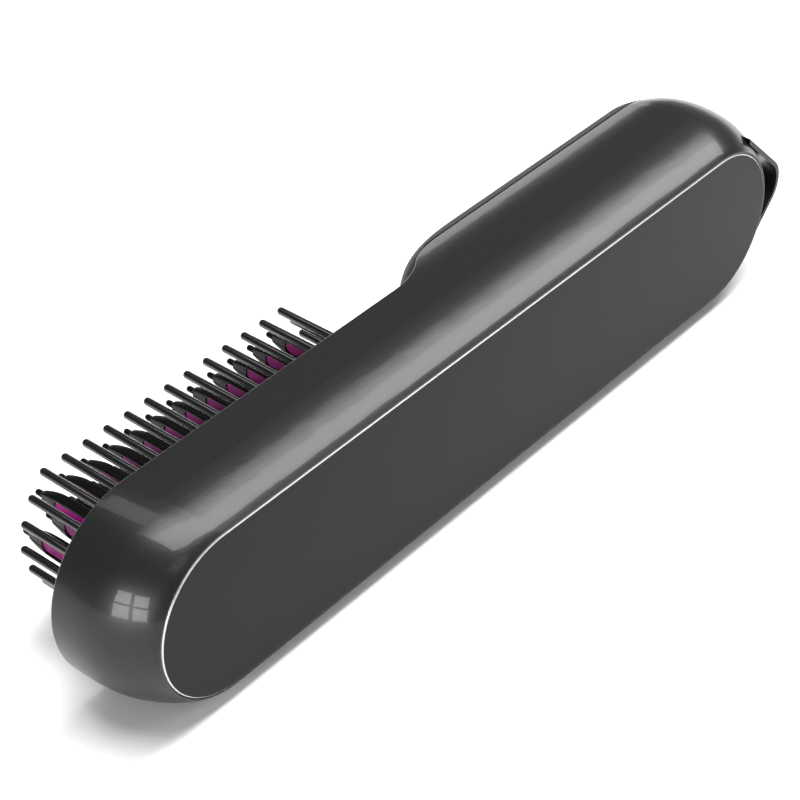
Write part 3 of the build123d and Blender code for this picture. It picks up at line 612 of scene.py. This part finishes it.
# ---- Battery -----------------------------------------------------------------------------------
# Two lithium cells in shrink sleeves, side by side in a moulded cradle, joined by spot-welded
# nickel tabs and kept from rattling by a pad of foam.
def shrink_sleeve(paint):
    """Green film, wrinkled and paler at its shrunk ends."""
    sleeve_end = 1.6 * mm
    ripple = paint.noise(260, 3.0)
    along = paint.node("ShaderNodeSeparateXYZ", {}, {0: paint.place()}, 0)
    low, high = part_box("battery_cells")[0].x + sleeve_end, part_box("battery_cells")[1].x - sleeve_end
    shrunk = (along > high) + (1.0 - (along > low))
    green = paint.blend(ripple, shade(0.16, (0.12, 0.75, 0.55)), shade(0.20, (0.14, 0.80, 0.60)))
    return {
        "Base Color": paint.blend(shrunk, green, shade(0.30, (0.4, 0.9, 0.75))),
        "Roughness": 0.22 + 0.10 * ripple,
        "Normal": paint.bump(ripple, 0.00003),
    }


def foam(paint):
    pores = paint.node("ShaderNodeTexVoronoi", {}, {"Vector": paint.place(), "Scale": 2600}, "Distance")
    return {
        "Base Color": paint.blend(pores, shade(0.012), shade(0.05)),
        "Roughness": 0.85 + 0.1 * pores,
        "Normal": paint.bump(pores, 0.00012),
    }


dress("battery_cells", finish("cell_sleeve_green", shrink_sleeve))
dress("battery_cradle", finish("cradle_nylon", moulded(0.42, (1.0, 0.97, 0.88), 0.45, 1800, 0.000006)))
dress("battery_tabs", finish("tab_nickel", rolled_metal(0.62, (1.0, 0.97, 0.90), 0.28, 2800)))
dress("battery_pad", finish("pad_foam", foam))


# ---- Circuit boards ----------------------------------------------------------------------------
# Glass-epoxy boards under a green solder mask. The main board carries small dark parts and the
# two tact switches, and the charging board sits at the tail.
track_scale, track_reach = 320, 0.42


def solder_mask(paint):
    weave = paint.node("ShaderNodeTexChecker", {}, {"Vector": paint.place(), "Scale": 1400}, "Fac")
    cells = {"Vector": paint.place(), "Scale": track_scale}
    tracks = paint.node("ShaderNodeTexVoronoi", {"distance": "MANHATTAN"}, cells, "Distance")
    copper = tracks > track_reach
    mask = paint.blend(weave, shade(0.11, (0.05, 0.80, 0.28)), shade(0.13, (0.06, 0.84, 0.30)))
    return {
        "Base Color": paint.blend(copper, mask, shade(0.19, (0.12, 0.88, 0.34))),
        "Roughness": 0.32 + 0.08 * paint.noise(600),
        "Normal": paint.bump(copper, 0.00002),
    }


green_mask = finish("board_solder_mask", solder_mask)
dress("main_board", green_mask)
dress("charge_board", green_mask)
dress("board_parts", finish("parts_epoxy", moulded(0.016, (1.0, 1.0, 1.05), 0.48, 3600, 0.000006)))
dress("tact_switches", finish("switch_nylon", moulded(0.02, (1.0, 1.0, 1.0), 0.40, 2600, 0.000005)))


# ---- Buttons -----------------------------------------------------------------------------------
# A round power button and an oblong temperature button of grey ABS, each on a white plunger that
# works its switch. The round one is turned, which leaves fine rings on its face.
ring_pitch = 0.16 * mm


def turned_grey(paint):
    middle = (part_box("power_button")[0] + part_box("power_button")[1]) / 2
    fed = {0: paint.place(), 1: tuple(middle)}
    out = paint.node("ShaderNodeVectorMath", {"operation": "SUBTRACT"}, fed, "Vector")
    fed = {0: out, 1: (1.0, 0.0, 1.0)}
    flat = paint.node("ShaderNodeVectorMath", {"operation": "MULTIPLY"}, fed, "Vector")
    reach = paint.node("ShaderNodeVectorMath", {"operation": "LENGTH"}, {0: flat}, "Value")
    rings = 0.5 + 0.5 * paint.maths("SINE", reach * (2 * pi / ring_pitch), 0.0)
    return {
        "Base Color": paint.blend(paint.noise(500), shade(0.16), shade(0.20, (1.0, 1.0, 1.02))),
        "Metallic": 0.55,
        "Roughness": 0.30 + 0.06 * rings,
        "Normal": paint.bump(rings, 0.000004),
    }


dress("power_button", finish("button_turned_grey", turned_grey))
dress("temp_button", finish("button_satin_grey", moulded(0.17, (1.0, 1.0, 1.02), 0.34, 3000, 0.000005)))
white_acetal = finish("plunger_acetal", moulded(0.74, (1.0, 0.99, 0.96), 0.36, 1500, 0.000004))
dress("power_plunger", white_acetal)
dress("temp_plunger", white_acetal)


# ---- Display -----------------------------------------------------------------------------------
# A white light box for the digits stands on the board, under a window of smoked acrylic that is
# glued flush into the cover.
def smoked(paint):
    haze = paint.noise(300, 3.0)
    return {
        "Base Color": paint.blend(haze, shade(0.006), shade(0.010)),
        "Roughness": 0.05 + 0.04 * haze,
        "Normal": paint.bump(haze, 0.000002),
    }


dress("display_module", finish("display_white", moulded(0.70, (1.0, 1.0, 0.98), 0.5, 1600, 0.000005)))
dress("display_window", finish("window_smoked_acrylic", smoked))


# ---- Light pipes -------------------------------------------------------------------------------
# Four rods of clear polycarbonate bring the level lights from the board to the cover's face,
# where they stand in its holes.
def clear_pipe(paint):
    haze = paint.noise(900, 3.0)
    return {
        "Base Color": paint.blend(haze, shade(0.62, (0.97, 1.0, 1.0)), shade(0.74)),
        "Roughness": 0.16 + 0.10 * haze,
        "Transmission Weight": 0.35,
        "Normal": paint.bump(haze, 0.000004),
    }


dress("light_pipes", finish("pipe_clear", clear_pipe))


# ---- Charging socket ---------------------------------------------------------------------------
# A USB-C receptacle in the tail: a drawn and tinned steel shell round a black moulded tongue. It
# is soldered to the charging board.
dress("usb_socket", finish("socket_tinned_steel", rolled_metal(0.68, (1.0, 0.98, 0.95), 0.20, 2800)))
dress("usb_tongue", finish("tongue_black", moulded(0.012, (1.0, 1.0, 1.0), 0.42, 3000, 0.000003)))


# ---- Leads -------------------------------------------------------------------------------------
# Silicone-covered wires, soldered at both ends: red ones to the heaters, black ones from the
# charging board.
dress("heater_leads", finish("lead_red_silicone", moulded(0.34, (1.0, 0.03, 0.02), 0.5, 1400, 0.000006)))
dress("charge_leads", finish("lead_black_silicone", moulded(0.014, (1.0, 1.0, 1.0), 0.5, 1400, 0.000006)))


# ---- Screws ------------------------------------------------------------------------------------
# Zinc-plated steel with pan heads and cut threads: three hold the clamp, four the plate, four the
# board and six the case.
screw_zinc = finish("screw_zinc", rolled_metal(0.58, (0.98, 1.0, 1.02), 0.30, 2400, (1.0, 0.08, 1.0)))
for fixing in ("clamp_screws", "plate_screws", "board_screws", "case_screws"):
    dress(fixing, screw_zinc)
